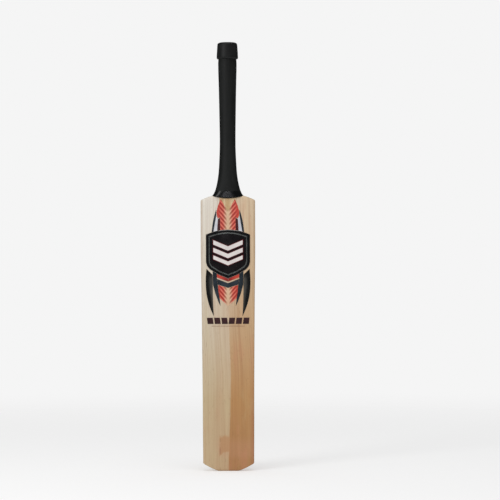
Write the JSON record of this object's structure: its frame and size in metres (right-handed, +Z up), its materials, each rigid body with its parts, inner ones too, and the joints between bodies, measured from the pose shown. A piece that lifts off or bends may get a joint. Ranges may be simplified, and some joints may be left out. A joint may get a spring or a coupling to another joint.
{
  "type": "cricket bat",
  "caption": "Full-size cricket bat: bowed willow blade with a V-spliced laminated cane handle, black rubber grip with a rolled cuff, and plain red and black face labels.",
  "frame": {"origin": "centre of the flat facet at the bottom of the toe, on the blade's centre line", "axes": "+Z up from the toe to the end of the handle, +X across the blade to the right as seen from the hitting face, -Y out of the hitting face, +Y out of the spine at the back"},
  "size_m": [0.108, 0.0684, 0.848],
  "materials": {
    "willow": "oiled and polished, straight grain",
    "cane": "sanded cane",
    "insert_rubber": "matte",
    "twine": "waxed thread",
    "tape": "satin",
    "grip_rubber": "matte, with a smooth lower band",
    "label_red": "gloss",
    "label_maroon": "gloss",
    "label_slate": "metallic gloss",
    "label_silver": "metallic gloss",
    "label_black": "high gloss"
  },
  "bodies": {
    "root": {"blade": "willow", "cane_front_left": "cane", "cane_front_middle": "cane", "cane_front_right": "cane", "cane_midfront_left": "cane", "cane_midfront_middle": "cane", "cane_midfront_right": "cane", "cane_midback_left": "cane", "cane_midback_middle": "cane", "cane_midback_right": "cane", "cane_back_left": "cane", "cane_back_middle": "cane", "cane_back_right": "cane", "rubber_insert_front": "insert_rubber", "rubber_insert_centre": "insert_rubber", "rubber_insert_back": "insert_rubber", "twine_binding": "twine", "grip_tape": "tape", "grip_sleeve": "grip_rubber", "grip_top_cuff": "grip_rubber", "label_shield_rim": "label_black", "label_shield_line": "label_silver", "label_shield_field": "label_black", "label_crest": "label_red", "label_bar_left": "label_maroon", "label_bar_right": "label_maroon", "label_facet_left": "label_silver", "label_facet_right": "label_silver", "label_fin_left": "label_slate", "label_fin_right": "label_slate", "label_wing_left": "label_black", "label_wing_right": "label_black", "label_fang_left": "label_slate", "label_fang_right": "label_slate", "label_chevron_left": "label_red", "label_chevron_right": "label_red", "label_vee": "label_slate", "label_plume": "label_red", "label_block_1": "label_maroon", "label_block_2": "label_maroon", "label_block_3": "label_maroon", "label_block_4": "label_maroon", "label_block_5": "label_maroon", "label_block_6": "label_maroon", "label_hairline": "label_maroon"}
  },
  "joints": []
}
